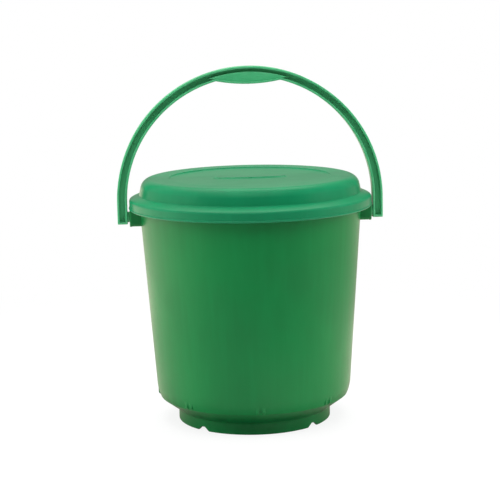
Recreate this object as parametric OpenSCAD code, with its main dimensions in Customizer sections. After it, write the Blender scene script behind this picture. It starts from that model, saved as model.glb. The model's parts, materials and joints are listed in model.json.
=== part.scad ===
// Lidded household bucket: a one-piece moulded bucket with a stepped foot and two
// bail ears, a domed cap lid, and a swinging bail handle with a moulded grip.
// Frame: +Z up, +X along the bail pivot, origin at the centre of the foot's underside.

/* [Bucket wall] */
// Height of the rim above the floor the bucket stands on
body_h = 274.5; // [240:0.5:300]
// Outer radius of the wall just under the rim
wall_top_r = 135.2; // [130:0.1:142]
// Outer radius of the wall where it starts to round under
wall_low_r = 119.3; // [114:0.1:122]
// Height where the wall starts to round under
round_z = 46; // [43:0.5:54]
// Radius of the rounded lower edge, seen in section
round_r = 47; // [40:0.5:54]
// Wall thickness
wall_t = 2.4; // [1.8:0.1:3.2]

/* [Foot] */
// Outer radius of the foot ring
foot_r = 93.5; // [86:0.5:97]
// Height of the neck where the foot ring meets the sloping underside
foot_h = 14; // [10:0.5:17]
// Wall thickness of the foot ring
foot_t = 3; // [2:0.1:4]
// Slope of the underside between the neck and the lower edge, in degrees
under_slope = 36.5; // [33:0.5:42]
// Fillet in the neck
neck_fillet = 3; // [1:0.5:5]
// Thickness of the bucket's floor
floor_t = 2.6; // [2:0.1:4]
// Number of air notches in the foot ring
notch_n = 4; // [2:1:8]
// Width of a notch where it opens
notch_w = 17; // [10:0.5:22]
// Width of a notch across its top
notch_top_w = 5; // [2:0.5:9]
// Height of a notch
notch_h = 4.8; // [3:0.1:7]

/* [Lower ribs] */
// Number of rib pairs round the lower edge
rib_n = 8; // [4:1:12]
// Width of one rib
rib_w = 3.6; // [2:0.1:6]
// Distance between the two ribs of a pair
rib_pitch = 7.4; // [6.5:0.1:12]
// Height over which a rib keeps the line of the wall before it is chamfered
rib_straight = 13; // [6:0.5:14]

/* [Rim] */
// Overhang of the rim beyond the wall
rim_w = 9; // [7:0.1:10]
// Thickness of the rim and of its lip
rim_t = 2.4; // [1.8:0.1:3]
// Height of the turned-down lip of the rim
rim_lip_h = 10; // [8.6:0.1:10.5]
// Radius of the roll from the rim's top into its lip
rim_round = 8; // [6:0.1:8.4]

/* [Ears] */
// How far the ears stand out past the rim
ear_out = 2.5; // [2:0.1:4]
// Width of an ear
ear_w = 28; // [22:0.5:36]
// Thickness of an ear's outer plate
ear_plate_t = 2.5; // [2:0.1:3.5]
// Thickness of an ear's two side walls and its top shelf
ear_side_t = 2.4; // [1.8:0.1:3.2]
// Depth of an ear below the pivot
ear_down = 11; // [9:0.5:15]
// Corner radius at the bottom of an ear
ear_round = 5; // [2:0.5:8]
// Distance of the pivot below the rim
pivot_drop = 22.5; // [21:0.5:27]

/* [Lid] */
// Thickness of the lid
lid_t = 2.2; // [1.6:0.1:3]
// Clearance between the rim and the inside of the lid's skirt
lid_fit = 0.4; // [0.3:0.05:1]
// Gap between the rim's roll and the lid's flange
lid_gap = 0.3; // [0.3:0.05:0.6]
// Step of the dome's side inside the bucket's wall line
dome_step = 0.6; // [0.2:0.1:2]
// Height of the dome above the flange
dome_h = 19.4; // [15:0.1:26]
// Lean of the dome's side, in degrees
dome_lean = 12; // [6:1:20]
// Radius of the dome's shoulder
dome_round = 13; // [8:0.5:14]
// Fall of the flange from the dome to the skirt
flange_fall = 5.2; // [4:0.1:7]
// Outer corner radius between the flange and the skirt
skirt_round = 3; // [1:0.1:4]
// Reach of the skirt below the rim's top
skirt_drop = 13.1; // [10.6:0.1:14]
// How far the bead at the skirt's edge stands out
bead_out = 0.7; // [0.3:0.1:1.2]
// Height of the bead
bead_h = 3; // [2:0.1:4]
// Clearance round the foot of a bucket stacked on the lid
stack_fit = 3.5; // [2:0.5:6]
// Depth of the stacking recess in the lid's top
recess_d = 1.4; // [0.8:0.1:2.4]

/* [Bail] */
// Height of the crown above the pivot
bail_rise = 178.5; // [175:0.5:215]
// Thickness of the bail, seen from the front
bail_w = 12.1; // [10:0.1:15]
// Depth of the bail, front to back
bail_depth = 16; // [13:0.5:20]
// Thickness of the two flanges of the bail's section
bail_flange_t = 2.6; // [2:0.1:3.4]
// Thickness of the web between the flanges
bail_web_t = 3; // [2:0.1:5]
// Space between an ear's face and the bail's leg
leg_gap = 2.5; // [2:0.1:4]
// Length of a leg below the pivot
leg_down = 8.6; // [7.6:0.1:11]
// Height of the closing wall at the bottom of a leg
leg_end_t = 3.2; // [2:0.1:4.5]
// Corner radius at the bottom of a leg
leg_round = 4; // [2:0.5:6]
// Length of the grip, where its belly leaves the arch
grip_len = 77; // [60:1:100]
// Depth of the grip's belly below the ends of the grip
grip_belly = 3.9; // [2:0.1:8]
// Width of the groove between the crown flange and the grip's pad
grip_groove = 4; // [2.5:0.1:5]
// Depth of the pad's face below the faces of the flanges
pad_drop = 1.2; // [0.6:0.1:3]

/* [Pivot] */
// Radius of the pivot stud
pin_r = 3.5; // [2.5:0.1:4.5]
// Radial clearance of the stud in the ear's hole
pin_fit = 0.06; // [0.02:0.01:0.1]
// Clearance of the bail's shoulder and snap head from the ear's plate
side_fit = 0.3; // [0.2:0.05:0.6]
// Radius of the shoulder on the leg's inner face
shoulder_r = 6.5; // [5:0.1:7.5]
// Radius of the snap head behind the ear's plate
head_r = 4.9; // [4.6:0.1:5.6]
// Length of the snap head
head_l = 2.2; // [1.6:0.1:3]

/* [Hidden] */
$fn = 96;
// Overlap that keeps joined and cut faces apart
eps = 1;
// Extra radius that lets a rounding cross the lines it runs into, where it would only touch them
blend_lap = 0.002;
// Largest radius and height of the construction shapes
reach = 600;

// Wall and underside
draft = atan((wall_top_r - wall_low_r) / (body_h - round_z));
wall_in = [-cos(draft), sin(draft)];
wall_low = [wall_low_r, round_z];
slope_dir = [cos(under_slope), sin(under_slope)];
slope_in = [-sin(under_slope), cos(under_slope)];
neck = [foot_r, foot_h];
floor_z = foot_h + floor_t;
notch_first = 45;

// Rounding of the lower edge, opened up where it would not leave the underside this wide
slope_least = 4;
slope_off = neck + slope_least * slope_dir - wall_low;
edge_r = max(round_r, slope_off * slope_off / (2 * slope_off * wall_in));
round_c = wall_low + edge_r * wall_in;

// Crease where the rounded lower edge meets the sloping underside
neck_off = neck - round_c;
neck_along = neck_off * slope_dir;
crease = neck + slope_dir * (sqrt(pow(neck_along, 2) - neck_off * neck_off + pow(edge_r, 2)) - neck_along);

// Depth of a rib's face behind the line of the wall, so that it rises out of the rounding
rib_sink = 0.3;

// Rim and ears
rim_r = wall_top_r + rim_w;
roll_c = [rim_r - rim_round, body_h - rim_round];
skirt_z = body_h - skirt_drop;
ear_top_clear = 0.5;
// Depths in the rim's thickness where an ear's outside and its hollow end
ear_sink = rim_t / 2;
hollow_sink = 3 * rim_t / 4;
ear_top_z = skirt_z - ear_top_clear;
ear_face = rim_r + ear_out;
pivot_z = body_h - pivot_drop;

// Lid
skirt_in_r = rim_r + lid_fit;
skirt_r = skirt_in_r + lid_t;
dome_r = wall_top_r - dome_step;
flange_lean = atan(flange_fall / (skirt_r - dome_r));
flange_up = [sin(flange_lean), cos(flange_lean)];
flange_off = rim_round + lid_gap + lid_t;
flange_z = roll_c.y + (flange_off - (dome_r - roll_c.x) * flange_up.x) / flange_up.y;
dome_z = flange_z + dome_h;
recess_r = foot_r + stack_fit;
recess_slope = 3;

// Bail
leg_in = ear_face + leg_gap;
leg_out = leg_in + bail_w;
crown_z = pivot_z + bail_rise;
arch_z = crown_z - leg_out;
leg_z = pivot_z - leg_down;
grip_end_z = arch_z + sqrt(pow(leg_in, 2) - pow(grip_len / 2, 2));
grip_low_z = grip_end_z - grip_belly;
grip_r = (pow(grip_len / 2, 2) + pow(grip_belly, 2)) / (2 * grip_belly);
head_taper = 0.8;

// Half section of the bucket above its foot, set in from the outside by inset.
module belly_section(inset) {
  wall_a = wall_low + inset * wall_in;
  along = [sin(draft), cos(draft)];
  slope_a = neck + inset * slope_in;
  intersection() {
    polygon([
      [0, 0],
      wall_a - along * wall_a.y / along.y,
      wall_a + along * (body_h + eps - wall_a.y) / along.y,
      [0, body_h + eps]
    ]);
    polygon([
      slope_a - slope_dir * slope_a.x / slope_dir.x,
      slope_a + slope_dir * reach,
      [0, reach]
    ]);
    union() {
      translate(round_c) circle(r = edge_r - inset + blend_lap);
      square([round_c.x, reach]);
      translate([0, wall_a.y]) square([reach, reach]);
    }
  }
}

// Fillet that fills the neck between the foot ring and the sloping underside.
module neck_section() {
  leg = neck_fillet * tan((90 - under_slope) / 2);
  low = neck - [0, leg];
  high = neck + slope_dir * leg;
  difference() {
    polygon([low - [foot_t, 0], low, high, high - [foot_t, 0]]);
    translate(low + [neck_fillet, 0]) circle(r = neck_fillet + blend_lap);
  }
}

// Rim: a top that rolls over into a turned-down lip, open below.
module rim_section() {
  lip_z = body_h - rim_lip_h;
  translate([wall_top_r - wall_t, body_h - rim_t]) square([roll_c.x - wall_top_r + wall_t, rim_t]);
  translate([rim_r - rim_t, lip_z]) square([rim_t, roll_c.y - lip_z]);
  intersection() {
    translate(roll_c) difference() {
      circle(r = rim_round);
      circle(r = rim_round - rim_t);
    }
    translate(roll_c) square(rim_round);
  }
}

// Everything under the rim, set in from the outside of its roll by inset.
module under_rim(inset) {
  rotate_extrude() {
    square([rim_r - inset, roll_c.y]);
    square([roll_c.x, body_h - inset]);
    intersection() {
      translate(roll_c) circle(r = rim_round - inset);
      translate(roll_c) square(rim_round);
    }
  }
}

// One ear: a plate held by two side walls and a shelf, open below for the snap head.
module ear() {
  side_y = ear_w / 2;
  low_z = pivot_z - ear_down;
  inner_x = wall_low_r;
  difference() {
    union() {
      translate([inner_x, -side_y, low_z + ear_round])
        cube([ear_face - inner_x, ear_w, ear_top_z - low_z - ear_round]);
      translate([inner_x, ear_round - side_y, low_z])
        cube([ear_face - inner_x, ear_w - 2 * ear_round, ear_round + eps]);
      for (s = [-1, 1])
        translate([inner_x, s * (side_y - ear_round), low_z + ear_round])
          rotate([0, 90, 0]) cylinder(h = ear_face - inner_x, r = ear_round);
      intersection() {
        translate([inner_x, -side_y, pivot_z]) cube([reach, ear_w, pivot_drop]);
        under_rim(ear_sink);
      }
    }
    translate([0, ear_side_t - side_y, low_z - eps])
      cube([ear_face - ear_plate_t, ear_w - 2 * ear_side_t, ear_top_z - ear_side_t - low_z + eps]);
    intersection() {
      translate([0, ear_side_t - side_y, low_z])
        cube([reach, ear_w - 2 * ear_side_t, body_h - low_z]);
      under_rim(hollow_sink);
    }
  }
}

// One wedge rib that carries the wall's line down over the rounded lower edge.
module lower_rib() {
  rotate([90, 0, 0]) translate([-rib_sink, 0, -rib_w / 2]) linear_extrude(rib_w)
    polygon([
      [round_c.x, round_z],
      wall_low,
      [wall_low_r - rib_straight * tan(draft), round_z - rib_straight],
      crease,
      [round_c.x, crease.y]
    ]);
}

// One air notch: a trapezoid cut through the foot ring.
module notch() {
  translate([foot_r - foot_t - eps, 0, 0]) rotate([90, 0, 90]) linear_extrude(foot_t + 2 * eps)
    polygon([
      [-notch_w / 2, -eps],
      [-notch_w / 2, 0],
      [-notch_top_w / 2, notch_h],
      [notch_top_w / 2, notch_h],
      [notch_w / 2, 0],
      [notch_w / 2, -eps]
    ]);
}

// Hole for the bail's stud, through the plate of the right ear only.
module pivot_hole() {
  translate([ear_face - ear_plate_t - eps, 0, pivot_z]) rotate([0, 90, 0])
    cylinder(h = ear_plate_t + 2 * eps, r = pin_r + pin_fit);
}

module bucket_body() {
  color([0.10, 0.44, 0.23])
  difference() {
    union() {
      rotate_extrude() {
        intersection() {
          belly_section(0);
          square([reach, body_h]);
        }
        square([foot_r, foot_h]);
        neck_section();
        rim_section();
      }
      ear();
      mirror([1, 0, 0]) ear();
      for (i = [0 : rib_n - 1], s = [-1, 1])
        rotate(i * 360 / rib_n - 90) translate([0, s * rib_pitch / 2, 0]) lower_rib();
    }
    rotate_extrude() {
      intersection() {
        belly_section(wall_t);
        translate([0, floor_z]) square([reach, reach]);
      }
      translate([0, -eps]) square([foot_r - foot_t, foot_h + eps]);
    }
    for (i = [0 : notch_n - 1]) rotate(notch_first + i * 360 / notch_n) notch();
    pivot_hole();
    mirror([1, 0, 0]) pivot_hole();
  }
}

// Half section of the lid's dome, set in from the outside by inset.
module dome_section(inset) {
  base_r = dome_r - inset / cos(dome_lean);
  shoulder_z = dome_z - dome_round;
  shoulder_r_c = dome_r - (shoulder_z - flange_z) * tan(dome_lean) - dome_round / cos(dome_lean);
  side_z = shoulder_z + (dome_round - inset) * sin(dome_lean);
  top_z = dome_z - inset;
  side_r = function (z) base_r - (z - flange_z) * tan(dome_lean);
  difference() {
    union() {
      polygon([[0, body_h], [side_r(body_h), body_h], [side_r(side_z), side_z], [0, side_z]]);
      square([shoulder_r_c, top_z]);
      translate([shoulder_r_c, shoulder_z]) circle(r = dome_round - inset + blend_lap);
    }
    polygon([
      [0, top_z - recess_d],
      [recess_r + inset, top_z - recess_d],
      [recess_r + inset + recess_slope, top_z + eps],
      [0, top_z + eps]
    ]);
  }
}

// Half section of the lid's flange, skirt and bead, filled to the axis.
module skirt_section() {
  corner_r = skirt_r - skirt_round;
  corner_z = flange_z - ((corner_r - dome_r) * flange_up.x + skirt_round) / flange_up.y;
  corner = [corner_r, corner_z];
  flange_in = [dome_r, flange_z] + eps * [-flange_up.y, flange_up.x];
  translate([0, skirt_z]) square([skirt_r, corner_z - skirt_z]);
  polygon([
    [0, corner_z],
    corner,
    corner + skirt_round * flange_up,
    flange_in,
    [0, flange_in.y]
  ]);
  translate(corner) circle(r = skirt_round + blend_lap);
  translate([0, skirt_z]) square([skirt_r + bead_out - bead_h / 2, bead_h]);
  translate([skirt_r + bead_out - bead_h / 2, skirt_z + bead_h / 2]) circle(r = bead_h / 2);
}

// Half section of the space under the lid's flange, one thickness below its top.
module under_flange() {
  dome_in_r = dome_r - lid_t / cos(dome_lean);
  under_z = function (r) flange_z - (lid_t + (r - dome_r) * flange_up.x) / flange_up.y;
  polygon([
    [0, skirt_z - eps],
    [skirt_in_r, skirt_z - eps],
    [skirt_in_r, under_z(skirt_in_r)],
    [dome_in_r, under_z(dome_in_r)],
    [0, under_z(dome_in_r)]
  ]);
}

module lid() {
  color([0.09, 0.54, 0.34])
  rotate_extrude()
    difference() {
      union() {
        intersection() {
          dome_section(0);
          translate([0, body_h]) square([reach, reach]);
        }
        skirt_section();
      }
      under_flange();
      intersection() {
        dome_section(lid_t);
        translate([0, body_h]) square([reach, reach]);
      }
    }
}

// Filled outline of the bail seen from the front, set in from all edges by inset.
module bail_outline(inset) {
  difference() {
    intersection() {
      translate([0, arch_z]) circle(r = leg_out - inset);
      translate([-reach / 2, arch_z]) square([reach, reach]);
    }
    translate([0, arch_z]) circle(r = leg_in + inset);
  }
  intersection() {
    translate([0, grip_low_z + grip_r]) circle(r = grip_r - inset);
    translate([0, arch_z]) circle(r = leg_out - inset);
  }
}

// Filled outline of both legs below the arch.
module leg_outline(inset, low_z) {
  for (s = [-1, 1])
    translate([s * (leg_in + leg_out) / 2 - (bail_w - 2 * inset) / 2, low_z])
      square([bail_w - 2 * inset, arch_z - low_z]);
}

// A front-view outline made solid about the mid plane of the bail.
module slab(depth) {
  rotate([90, 0, 0]) translate([0, 0, -depth / 2]) linear_extrude(depth) children();
}

// Pivot stud on the inner face of the right leg: shoulder, pin and snap head.
module stud() {
  shoulder_x = ear_face + side_fit;
  neck_x = ear_face - ear_plate_t - side_fit;
  translate([0, 0, pivot_z]) rotate([0, 90, 0]) {
    translate([0, 0, shoulder_x]) cylinder(h = leg_in + bail_flange_t / 2 - shoulder_x, r = shoulder_r);
    translate([0, 0, neck_x - head_l / 2]) cylinder(h = shoulder_x + eps - neck_x + head_l / 2, r = pin_r);
    translate([0, 0, neck_x - head_l]) cylinder(h = head_l, r1 = head_r - head_taper, r2 = head_r);
  }
}

// What the rounded corners take away at the bottom of both legs.
module leg_corners() {
  for (s = [-1, 1])
    difference() {
      translate([-reach / 2, s * bail_depth / 2 - leg_round, leg_z - leg_round])
        cube([reach, 2 * leg_round, 2 * leg_round]);
      translate([-reach / 2, s * (bail_depth / 2 - leg_round), leg_z + leg_round])
        rotate([0, 90, 0]) cylinder(h = reach, r = leg_round);
      translate([-reach / 2, -bail_depth / 2 - eps, leg_z + leg_round])
        cube([reach, bail_depth + 2 * eps, leg_round + eps]);
      translate([-reach / 2, leg_round - bail_depth / 2, leg_z - eps])
        cube([reach, bail_depth - 2 * leg_round, leg_round + eps]);
    }
}

module bail_handle() {
  recess_y = (bail_depth + bail_web_t) / 4;
  color([0.14, 0.55, 0.34]) {
    difference() {
      slab(bail_depth) {
        bail_outline(0);
        leg_outline(0, leg_z);
      }
      for (s = [-1, 1])
        translate([0, s * (recess_y + eps / 2), 0])
          slab((bail_depth - bail_web_t) / 2 + eps) {
            bail_outline(bail_flange_t);
            leg_outline(bail_flange_t, leg_z + leg_end_t);
          }
      leg_corners();
    }
    slab(bail_depth - 2 * pad_drop)
      intersection() {
        translate([0, grip_low_z + grip_r]) circle(r = grip_r - bail_flange_t / 2);
        translate([0, arch_z]) circle(r = leg_out - bail_flange_t - grip_groove);
      }
    stud();
    mirror([1, 0, 0]) stud();
  }
}

bucket_body();
lid();
bail_handle();
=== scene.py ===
"""Lidded household bucket with a swinging bail: its moulded pieces, their plastics and a plain studio.

The pieces are laid out in millimetres in the bucket's own frame and become metres as a mesh is made.
The camera and the studio are in metres.
"""
import json
import math

import bmesh
import bpy
import numpy as np
from mathutils import Matrix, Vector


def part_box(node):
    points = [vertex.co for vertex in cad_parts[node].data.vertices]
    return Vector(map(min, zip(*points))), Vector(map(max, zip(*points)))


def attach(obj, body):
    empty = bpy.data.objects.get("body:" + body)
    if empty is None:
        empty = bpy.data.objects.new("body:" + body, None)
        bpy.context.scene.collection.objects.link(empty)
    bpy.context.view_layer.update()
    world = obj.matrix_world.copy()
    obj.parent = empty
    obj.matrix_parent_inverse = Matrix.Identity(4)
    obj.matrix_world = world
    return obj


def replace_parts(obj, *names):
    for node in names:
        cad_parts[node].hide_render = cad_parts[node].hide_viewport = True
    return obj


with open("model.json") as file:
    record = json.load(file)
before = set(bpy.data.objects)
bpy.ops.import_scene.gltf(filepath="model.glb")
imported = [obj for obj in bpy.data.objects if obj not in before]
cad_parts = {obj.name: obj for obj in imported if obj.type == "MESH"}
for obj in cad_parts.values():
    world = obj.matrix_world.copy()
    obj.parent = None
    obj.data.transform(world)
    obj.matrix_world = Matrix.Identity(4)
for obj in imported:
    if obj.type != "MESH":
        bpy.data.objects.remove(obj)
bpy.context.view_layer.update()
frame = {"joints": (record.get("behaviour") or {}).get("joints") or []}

MM = 0.001


def corners_of(node):
    """Lowest and highest corner of a solid at rest, in millimetres."""
    low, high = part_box(node)
    return np.array(low) / MM, np.array(high) / MM


def joint_height(name):
    """Height of a joint's axis, in millimetres."""
    joint = next(j for j in frame["joints"] if j["name"] == name)
    return joint["pos_m"][2] / MM


body_high = corners_of("bucket_body")[1]
lid_low, lid_high = corners_of("lid")
bail_low, bail_high = corners_of("bail_handle")

# Bucket wall, from the frame and the moulding's own sizes
RIM_Z = body_high[2]
PIVOT_Z = joint_height("bail_swing")
WALL_TOP_R = 135.2
WALL_LOW_R = 119.3
WALL_T = 2.4
ROUND_Z = 46.0
ROUND_R = 47.0
DRAFT = math.atan((WALL_TOP_R - WALL_LOW_R) / (RIM_Z - ROUND_Z))
WALL_IN = np.array([-math.cos(DRAFT), math.sin(DRAFT)])
ROUND_C = np.array([WALL_LOW_R, ROUND_Z]) + ROUND_R * WALL_IN
MOUTH_ROUND = 1.0
ROUND_STEPS = 30
WALL_STEPS = 9
WALL_COLUMNS = 240
TURN_DIGITS = 6

# Foot ring, its neck, the crease above it and its air notches
FOOT_R = 93.5
FOOT_H = 14.0
FOOT_T = 3.0
FOOT_EDGE = 0.5
FOOT_FILLET = 1.2
FLOOR_T = 2.6
FLOOR_FILLET = 1.0
NECK_FILLET = 3.0
NECK = np.array([FOOT_R, FOOT_H])
CREASE_ROUND = 0.8
CREASE_FILLET = 2.0
UNDER_SLOPE = math.radians(36.5)
SLOPE_DIR = np.array([math.cos(UNDER_SLOPE), math.sin(UNDER_SLOPE)])
SLOPE_IN = np.array([-math.sin(UNDER_SLOPE), math.cos(UNDER_SLOPE)])
NOTCH_W = 17.0
NOTCH_TOP_W = 5.0
NOTCH_H = 4.8
NOTCH_TURNS = np.radians([45, 135, 225, 315])
NOTCH_ZONE = 10.5
NOTCH_BEND = 0.3
NOTCH_STEPS = 9

# Pairs of wedge ribs round the lower edge
RIB_N = 8
RIB_W = 3.6
RIB_PITCH = 7.4
RIB_STRAIGHT = 13.0
RIB_SINK = 0.3
RIB_FLANK = 0.5
RIB_TURNS = np.arange(RIB_N) * 2 * math.pi / RIB_N - math.pi / 2

# Rim
RIM_W = 9.0
RIM_T = 2.4
RIM_R = WALL_TOP_R + RIM_W
RIM_LIP_H = 10.0
RIM_LIP_EDGE = 0.6
RIM_FILLET = 0.4
RIM_ROUND = 8.0
ROLL_C = np.array([RIM_R - RIM_ROUND, RIM_Z - RIM_ROUND])
ROLL_STEPS = 13
ROLL_IN_STEPS = 9

# Ears: plate, side walls and shelf, gussets under the rim's roll, and the curtain under its lip
EAR_FACE = body_high[0]
EAR_W = 28.0
EAR_PLATE_T = 2.5
EAR_SIDE_T = 2.4
EAR_DOWN = 11.0
EAR_ROUND = 5.0
EAR_TOP_ROUND = 0.8
EAR_EDGE = 0.9
EAR_LID_GAP = 0.5
EAR_TOP_Z = lid_low[2] - EAR_LID_GAP
EAR_OUTLINE_STEPS = 8
EAR_BEVEL_STEPS = 5
SIDE_INSET = 0.03
SIDE_TURN_SHORT = 0.12
SIDE_STEPS = 6
GUSSET_GAP = 0.05
GUSSET_INSET = 0.1
GUSSET_STEPS = 7
CURTAIN_GAP = 0.05
CURTAIN_LAP = 2.0
CURTAIN_STEPS = 9
PIN_R = 3.5
PIN_FIT = 0.06

# Lid
LID_T = 2.2
BEAD_R = min(lid_high[0], lid_high[1])
BEAD_H = 3.0
BEAD_OUT = 0.7
SKIRT_R = BEAD_R - BEAD_OUT
SKIRT_Z = lid_low[2]
SKIRT_ROUND = 3.0
SKIRT_EDGE = 0.5
DOME_Z = lid_high[2]
DOME_H = 19.4
DOME_INSET = 0.6
DOME_R = WALL_TOP_R - DOME_INSET
DOME_LEAN = math.radians(12)
DOME_ROUND = 13.0
DOME_FILLET = 1.2
FLANGE_Z = DOME_Z - DOME_H
FLANGE_FALL = 5.2
FLANGE_FILLET = 0.8
FLANGE_LEAN = math.atan(FLANGE_FALL / (SKIRT_R - DOME_R))
RECESS_R = 97.0
RECESS_SLOPE = 1.2
RECESS_D = 1.4
RECESS_EDGE = 0.8
RECESS_UNDER_EDGE = 1.0
PLATE_HALF_X = 46.0
PLATE_HALF_Y = 12.0
PLATE_H = 1.3
PLATE_EDGE = 0.08
PLATE_ROWS_R = 50.0
PLATE_ROW = 0.8
DOME_STEPS = 24
DOME_IN_STEPS = 14
BEAD_STEPS = 14
LID_ARC_STEPS = 6
LID_COLUMNS = 288

# Bail
LEG_OUT = bail_high[0]
BAIL_W = 12.1
LEG_IN = LEG_OUT - BAIL_W
HALF_DEPTH = bail_high[1]
CROWN_Z = bail_high[2]
ARCH_Z = CROWN_Z - LEG_OUT
LEG_Z = bail_low[2]
LEG_END_T = 3.2
LEG_END_BEND = 0.15
LEG_ROUND = 4.0
LEG_EDGE = 0.5
LEG_EDGE_CLIMB = [0, 0.12, 0.25, LEG_EDGE]
BAIL_FLANGE_T = 2.6
BAIL_OUT_ROUND = 0.8
BAIL_FLANGE_ROUND = 0.6
HALF_WEB = 1.5
WEB_FILLET = 0.5
LEG_ROUND_STEPS = 10
LEG_STEPS = 8
ARCH_STEPS = 241
BAIL_ARC_STEPS = 3

# Grip: the lower circle's radius and height over the arch's centre follow from its half length and belly
GRIP_HALF = 38.5
GRIP_BELLY = 3.9
GRIP_GROOVE = 4.0
GRIP_R = (GRIP_HALF ** 2 + GRIP_BELLY ** 2) / (2 * GRIP_BELLY)
GRIP_UP = math.sqrt(LEG_IN ** 2 - GRIP_HALF ** 2) - GRIP_BELLY + GRIP_R
GRIP_SINE = 0.5
PAD_DROP = 1.2
PAD_ROUND = 0.9
PAD_RISE = 0.9
PAD_FLANGE_BEND = 0.3
PAD_OVER_FLANGE = 0.2
PAD_LEAST = 0.5

# Pivot studs
STUD_FIT = 0.3
SHOULDER_R = 6.5
SHOULDER_EDGE = 0.5
PIN_FILLET = 0.2
HEAD_R = 4.9
HEAD_EDGE = 0.25
HEAD_TAPER = 0.8
HEAD_L = 2.2
HEAD_ROUND = 0.5
STUD_ARC_STEPS = 3
STUD_COLUMNS = 64

# Radius of an edge that is worn all over
EDGE_R = 1.2

# Corners: steps of an arc, the share of a side that an arc may take, and where the flat beside it starts
ARC_STEPS = 4
ARC_ROOM = 0.42
FLAT_START = 1.3
LEAST_HALF_ANGLE = 1e-3
LEAST_BEND = 1e-5
LEAST_LENGTH = 1e-9
LEAST_SQUARE = 1e-12

# Meshes: how near points are merged and how short an edge goes, in metres, and where shading breaks
MERGE_GAP = 2e-6
SHORTEST_EDGE = 1e-6
SHARP_TURN = math.radians(48)


def unit(vectors):
    """Vectors at length 1."""
    length = np.linalg.norm(vectors, axis=-1, keepdims=True)
    return vectors / np.maximum(length, LEAST_LENGTH)


def smooth(low, high, value):
    """0 below low, 1 above high, and an S curve between."""
    share = np.clip((value - low) / (high - low), 0, 1)
    return share * share * (3 - 2 * share)


def rounded(outline, radii, steps=ARC_STEPS):
    """Outline whose corners give way to arcs of the given radii, tangent to the sides they join.

    Each corner becomes an arc from tangent point to tangent point, turned about its own centre, with
    one more point a little along each side so that flats stay flat. A corner of radius 0 stays a point.
    """
    before = unit(np.roll(outline, 1, axis=-2) - outline)
    after = unit(np.roll(outline, -1, axis=-2) - outline)
    side = np.linalg.norm(np.roll(outline, -1, axis=-2) - outline, axis=-1, keepdims=True)
    room = ARC_ROOM * np.minimum(side, np.roll(side, 1, axis=-2))
    half = np.arccos(np.clip((before * after).sum(-1, keepdims=True), -1, 1)) / 2
    half = np.clip(half, LEAST_HALF_ANGLE, math.pi / 2 - LEAST_BEND)
    radius = np.minimum(np.asarray(radii, float)[:, None], room * np.tan(half))
    reach = radius / np.tan(half)
    centre = outline + unit(before + after) * radius / np.sin(half)
    sweep = (math.pi - 2 * half)[..., None, :]
    start = (outline + before * reach - centre)[..., None, :]
    stop = (outline + after * reach - centre)[..., None, :]
    share = np.linspace(0, 1, steps + 1)[:, None]
    bend = (np.sin((1 - share) * sweep) * start + np.sin(share * sweep) * stop) / np.sin(sweep)
    hold = FLAT_START * reach
    points = np.concatenate([
        (outline + before * hold)[..., None, :],
        centre[..., None, :] + bend,
        (outline + after * hold)[..., None, :]], axis=-2)
    return points.reshape(*points.shape[:-3], -1, 2)


def section(corners, steps=ARC_STEPS):
    """Open outline of (radius, height, corner radius) rows, its corners rounded and its ends kept."""
    rows = np.array(corners, float)
    rows[[0, -1], 2] = 0
    return rounded(rows[:, :2], rows[:, 2], steps)


def arc(centre, radius, start, stop, count):
    """Points of a circle from one angle to another."""
    angles = np.linspace(start, stop, count)
    return centre + radius * np.stack([np.cos(angles), np.sin(angles)], axis=-1)


def bare(points):
    """Outline rows whose corners stay as they are."""
    return [(*point, 0) for point in points]


def turned(radius, height, turns):
    """Grid of an outline carried round the upright axis: x = r cos t, y = r sin t, z = height."""
    radius = np.broadcast_to(radius, (len(radius), len(turns)))
    height = np.broadcast_to(height, (len(height), len(turns)))
    return np.stack([radius * np.cos(turns), radius * np.sin(turns), height], axis=-1)


def capped(grid):
    """A grid of rings with a closing point at the middle of its first and last ring."""
    first = np.broadcast_to(grid[:1].mean(1, keepdims=True), grid[:1].shape)
    last = np.broadcast_to(grid[-1:].mean(1, keepdims=True), grid[-1:].shape)
    return np.concatenate([first, grid, last])


def ring_faces(rings, points):
    """Quads between neighbouring rings of a grid, each ring joined end to end."""
    ring = np.arange(rings - 1)[:, None]
    point = np.arange(points)[None, :]
    after = (point + 1) % points
    above = ring + 1
    quads = np.stack([ring * points + point, ring * points + after,
                      above * points + after, above * points + point], axis=-1)
    return quads.reshape(-1, 4)


def edge_share(mesh):
    """How tightly the surface turns outwards at each vertex, as a share of an edge of EDGE_R.

    Along a mesh edge the turn is the change of the normals over the length, and a vertex takes the
    greatest turn of its edges.
    """
    count = len(mesh.vertices)
    place, facing = np.empty(3 * count), np.empty(3 * count)
    mesh.vertices.foreach_get("co", place)
    mesh.vertex_normals.foreach_get("vector", facing)
    pair = np.empty(2 * len(mesh.edges), np.int32)
    mesh.edges.foreach_get("vertices", pair)
    first, second = pair.reshape(-1, 2).T
    run = place.reshape(-1, 3)[second] - place.reshape(-1, 3)[first]
    change = facing.reshape(-1, 3)[second] - facing.reshape(-1, 3)[first]
    turn = (run * change).sum(1) / np.maximum((run * run).sum(1), LEAST_SQUARE)
    share = np.zeros(count)
    np.maximum.at(share, first, turn)
    np.maximum.at(share, second, turn)
    return np.clip(share * EDGE_R * MM, 0, 1)


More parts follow.
